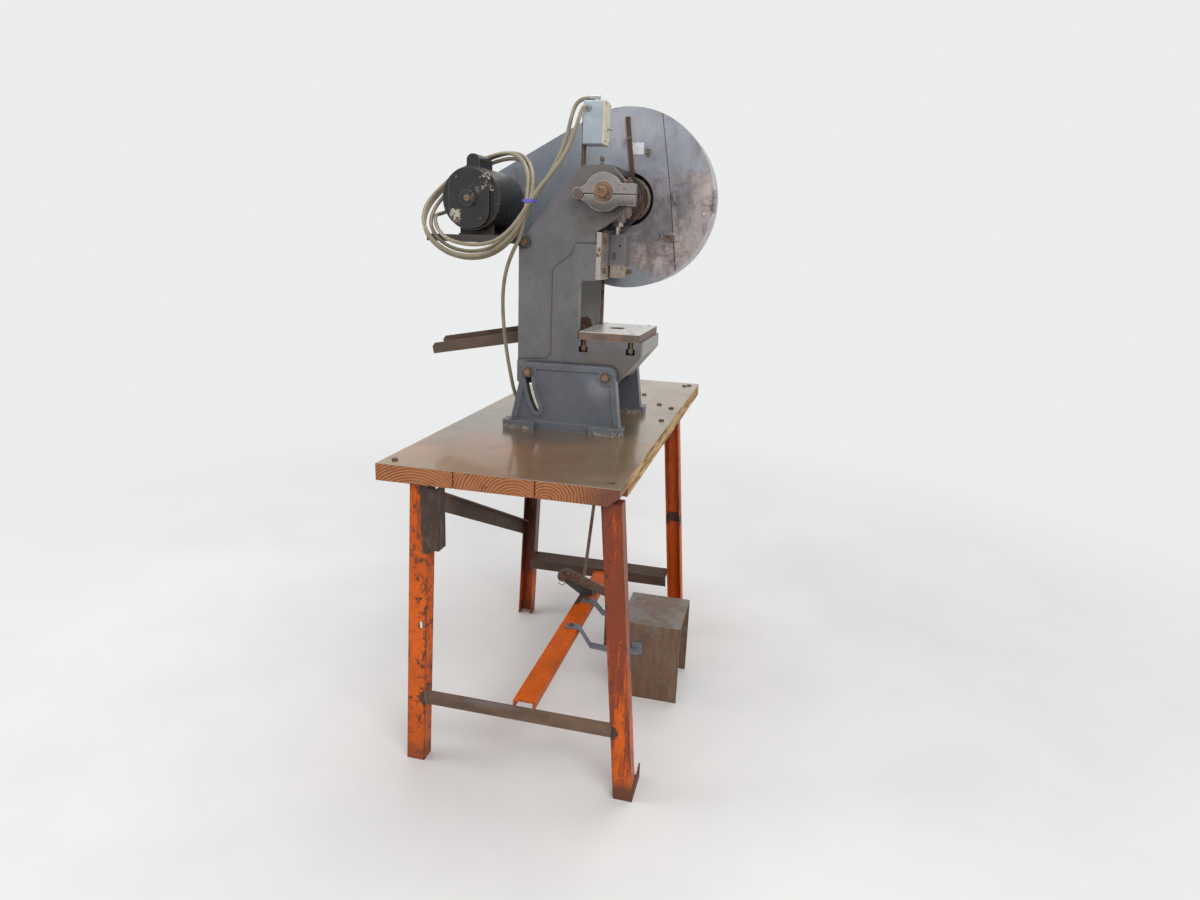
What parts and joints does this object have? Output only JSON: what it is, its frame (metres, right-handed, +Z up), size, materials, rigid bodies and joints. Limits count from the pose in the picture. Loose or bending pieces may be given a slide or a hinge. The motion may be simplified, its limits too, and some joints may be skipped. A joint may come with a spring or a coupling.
{
  "type": "bench punch press",
  "caption": "Inclinable C-frame punch press with overhung flywheel, belt motor and treadle, on a welded channel-leg workbench.",
  "frame": {"origin": "on the floor under the middle of the object's box", "axes": "+X to the press's front, where the operator stands; +Y to the operator's right, towards the flywheel; +Z up"},
  "size_m": [0.7822, 1.324, 1.612],
  "materials": {
    "plank_wood": "rough sawn fir, oiled and stained",
    "bench_steel": "oily steel sheet with rust tint",
    "orange_paint": "orange enamel, chipped and rusty",
    "brown_bar": "dark paint gone to rust",
    "rusty_steel": "brown oxide and oil",
    "stand_paint": "blue-grey paint, scraped edges",
    "frame_paint": "worn blue-grey machine paint",
    "guard_paint": "blue-grey paint with rust smudges",
    "brake_iron": "oily cast iron",
    "worn_steel": "machined steel with oil film",
    "bronze": "oiled bronze",
    "wheel_iron": "painted cast iron",
    "motor_black": "gloss black enamel, chipped",
    "shelf_steel": "dark grey paint",
    "arm_paint": "blue-grey paint",
    "box_paint": "light blue-grey paint",
    "cover_plastic": "cream moulding",
    "toggle_metal": "plated",
    "belt_rubber": "black rubber",
    "cord_jacket": "tan jacket",
    "plug_rubber": "black moulding"
  },
  "bodies": {
    "bench": {"bench_planks": "plank_wood", "bench_plate": "bench_steel", "bench_legs": "orange_paint", "stretcher_left": "brown_bar", "stretcher_right": "brown_bar", "stretcher_middle": "orange_paint", "brace_rear": "brown_bar", "bench_bolts": "rusty_steel", "base_left": "stand_paint", "base_right": "stand_paint", "treadle_bracket": "shelf_steel", "treadle_pin": "worn_steel", "pedal_guard_arms": "arm_paint", "pedal_guard": "rusty_steel", "plug": "plug_rubber", "cord_lead": "cord_jacket"},
    "press_frame": {"frame": "frame_paint", "tilt_bolts": "rusty_steel", "crank_bushes": "bronze", "gib_left": "worn_steel", "gib_right": "worn_steel", "frame_bolts": "rusty_steel", "bolster": "worn_steel", "brake_shoe_upper": "brake_iron", "brake_shoe_lower": "brake_iron", "brake_bolts": "rusty_steel", "guard_shell": "guard_paint", "guard_face": "guard_paint", "guard_strap": "guard_paint", "motor_plate": "shelf_steel", "motor_shell": "motor_black", "motor_bells": "motor_black", "motor_cradle": "shelf_steel", "capacitor_cover": "motor_black", "v_belt": "belt_rubber", "switch_bracket": "shelf_steel", "switch_box": "box_paint", "switch_cover": "cover_plastic", "cord_glands": "toggle_metal", "chute": "rusty_steel", "cord_motor": "cord_jacket", "cord_supply": "cord_jacket", "cord_coil": "cord_jacket", "trip_spring": "worn_steel"},
    "crank": {"crankshaft": "worn_steel", "brake_drum": "brake_iron", "clutch_collar": "brake_iron"},
    "connecting_rod": {"pitman": "worn_steel", "pitman_screw": "worn_steel"},
    "slide": {"ram": "worn_steel", "shank_clamp": "worn_steel", "clamp_screw": "rusty_steel"},
    "flywheel": {"flywheel": "wheel_iron"},
    "motor_rotor": {"motor_shaft": "worn_steel", "motor_pulley": "wheel_iron"},
    "guard_door": {"guard_door": "guard_paint"},
    "toggle": {"switch_toggle": "toggle_metal"},
    "treadle": {"treadle": "worn_steel"},
    "trip_rod": {"trip_rod": "worn_steel"},
    "trip_lever": {"trip_lever": "worn_steel"}
  },
  "joints": [
    {"name": "frame_tilt", "type": "hinge", "parent": "bench", "child": "press_frame", "pos_m": [0.15305, -0.062, 0.915], "axis": [0, -1, 0], "range_deg": [0, 22], "deforming": ["cord_lead"]},
    {"name": "crank_turn", "type": "hinge", "parent": "press_frame", "child": "crank", "pos_m": [0.13106, -0.062, 1.37], "axis": [0, -1, 0], "range_deg": [0, 180]},
    {"name": "rod_swing", "type": "hinge", "parent": "crank", "child": "connecting_rod", "pos_m": [0.13106, -0.062, 1.3827], "axis": [0, -1, 0], "range_deg": [-180, 0]},
    {"name": "ram_slide", "type": "slide", "parent": "press_frame", "child": "slide", "axis": [0, 0, 1], "range_m": [-0.0254, 0]},
    {"name": "flywheel_spin", "type": "hinge", "parent": "press_frame", "child": "flywheel", "pos_m": [0.13106, -0.062, 1.37], "axis": [0, -1, 0], "continuous": true},
    {"name": "motor_spin", "type": "hinge", "parent": "press_frame", "child": "motor_rotor", "pos_m": [-0.23694, -0.062, 1.35], "axis": [0, -1, 0], "continuous": true},
    {"name": "guard_door_swing", "type": "hinge", "parent": "press_frame", "child": "guard_door", "pos_m": [0.36906, 0.079, 1.37], "axis": [0, 0, 1], "range_deg": [0, 110]},
    {"name": "toggle_throw", "type": "hinge", "parent": "press_frame", "child": "toggle", "pos_m": [0.10255, -0.105, 1.528], "axis": [0, 1, 0], "range_deg": [-14, 14]},
    {"name": "treadle_press", "type": "hinge", "parent": "bench", "child": "treadle", "pos_m": [0.00505, -0.062, 0.267], "axis": [0, 1, 0], "range_deg": [0, 6], "stiffness_Nm_per_rad": 60, "springref_deg": -8.59},
    {"name": "trip_rod_slide", "type": "slide", "parent": "press_frame", "child": "trip_rod", "axis": [0, 0, 1], "range_m": [-0.0066, 0]},
    {"name": "trip_lever_turn", "type": "hinge", "parent": "press_frame", "child": "trip_lever", "pos_m": [0.03905, 0.038, 1.302], "axis": [0, 1, 0], "range_deg": [0, 8.5], "deforming": ["trip_spring"]}
  ],
  "couplings": [
    {"joint": "rod_swing", "follows": "crank_turn", "ratio": -1},
    {"joint": "ram_slide", "follows": "crank_turn", "m_per_rad": -0.0080851},
    {"joint": "motor_spin", "follows": "flywheel_spin", "ratio": 5.5},
    {"joint": "trip_rod_slide", "follows": "treadle_press", "m_per_rad": -0.063},
    {"joint": "trip_lever_turn", "follows": "treadle_press", "ratio": 1.4}
  ]
}
